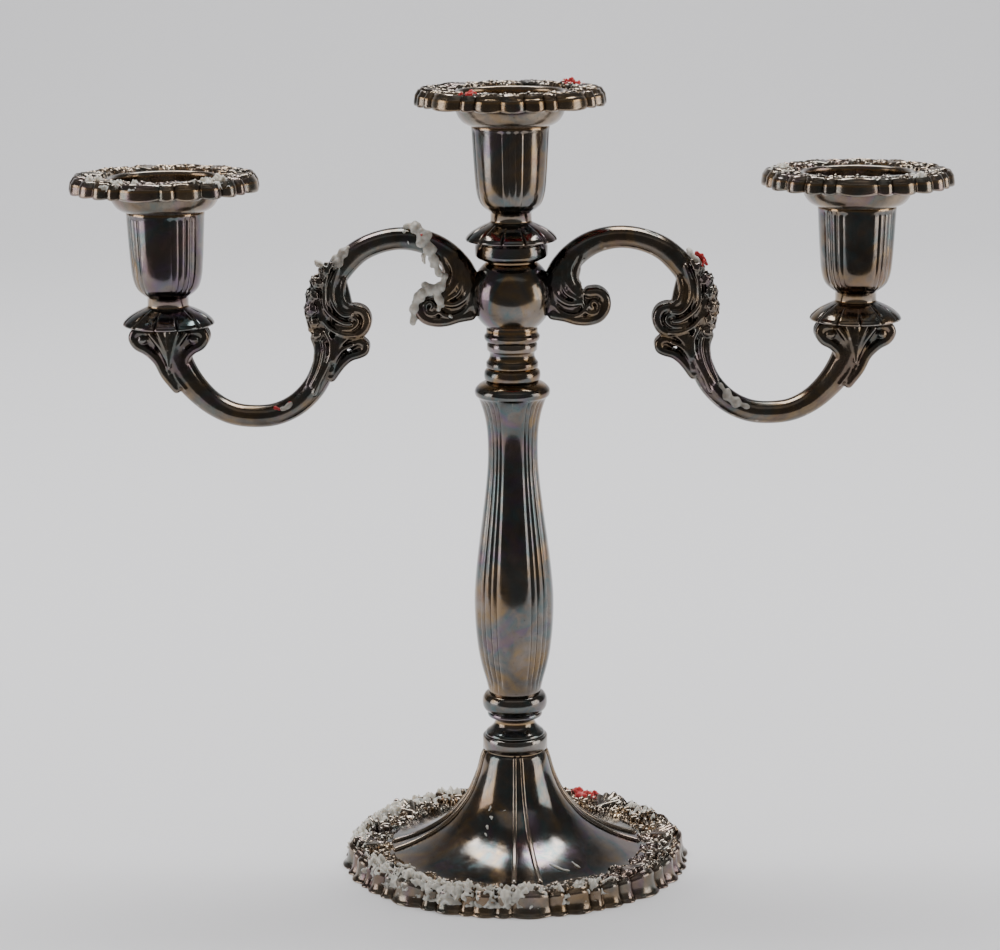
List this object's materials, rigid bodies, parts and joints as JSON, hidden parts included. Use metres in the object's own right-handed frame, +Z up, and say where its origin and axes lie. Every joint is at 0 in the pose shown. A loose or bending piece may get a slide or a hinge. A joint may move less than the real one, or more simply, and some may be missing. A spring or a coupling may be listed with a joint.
{
  "type": "candelabrum",
  "caption": "Table candelabrum in tarnished silver plate: round lobed foot, fluted baluster column, scroll arms, and fluted nozzles with lift-out wax pans.",
  "frame": {"origin": "middle of the round foot, on the surface it stands on", "axes": "+Z up the column, +X towards the right arm, -Y towards the viewer"},
  "size_m": [0.3112, 0.1276, 0.2825],
  "materials": {
    "stand_silver": "silver plate over brass, polished once and now dark with tarnish",
    "branch_silver": "silver plate over brass, cast, dark tarnish in the recesses and paler on the high points",
    "pan_silver": "silver plate over brass, tarnished, with old wax",
    "bare_brass": "turned brass, dull",
    "steel": "plain zinc-plated steel",
    "blackened_plate": "dull blackened sheet",
    "felt": "green baize"
  },
  "bodies": {
    "stand": {"foot": "stand_silver", "bottom_plate": "blackened_plate", "base_felt": "felt", "rod_washer": "steel", "rod_nut": "steel", "tie_rod": "steel", "foot_collar": "stand_silver", "knop": "stand_silver", "column": "stand_silver", "neck_socket": "stand_silver"},
    "spigot": {"branch_spigot": "bare_brass"},
    "branch": {"hub_rod": "steel", "hub_ring": "branch_silver", "hub_ball": "branch_silver", "hub_collar": "branch_silver", "arm_left": "branch_silver", "arm_right": "branch_silver", "nozzle_nut_centre": "steel", "nozzle_screw_left": "steel", "nozzle_screw_right": "steel", "skirt_left": "branch_silver", "skirt_centre": "branch_silver", "skirt_right": "branch_silver", "nozzle_left": "branch_silver", "nozzle_centre": "branch_silver", "nozzle_right": "branch_silver"},
    "pan_left": {"wax_pan_left": "pan_silver"},
    "pan_centre": {"wax_pan_centre": "pan_silver"},
    "pan_right": {"wax_pan_right": "pan_silver"}
  },
  "joints": [
    {"name": "spigot_lift", "type": "slide", "parent": "stand", "child": "spigot", "axis": [0, 0, 1], "range_m": [0, 0.04]},
    {"name": "branch_turn", "type": "hinge", "parent": "spigot", "child": "branch", "pos_m": [0, 0, 0.1935], "axis": [0, 0, 1], "continuous": true},
    {"name": "pan_left_lift", "type": "slide", "parent": "branch", "child": "pan_left", "axis": [0, 0, 1], "range_m": [0, 0.03]},
    {"name": "pan_centre_lift", "type": "slide", "parent": "branch", "child": "pan_centre", "axis": [0, 0, 1], "range_m": [0, 0.03]},
    {"name": "pan_right_lift", "type": "slide", "parent": "branch", "child": "pan_right", "axis": [0, 0, 1], "range_m": [0, 0.03]}
  ]
}
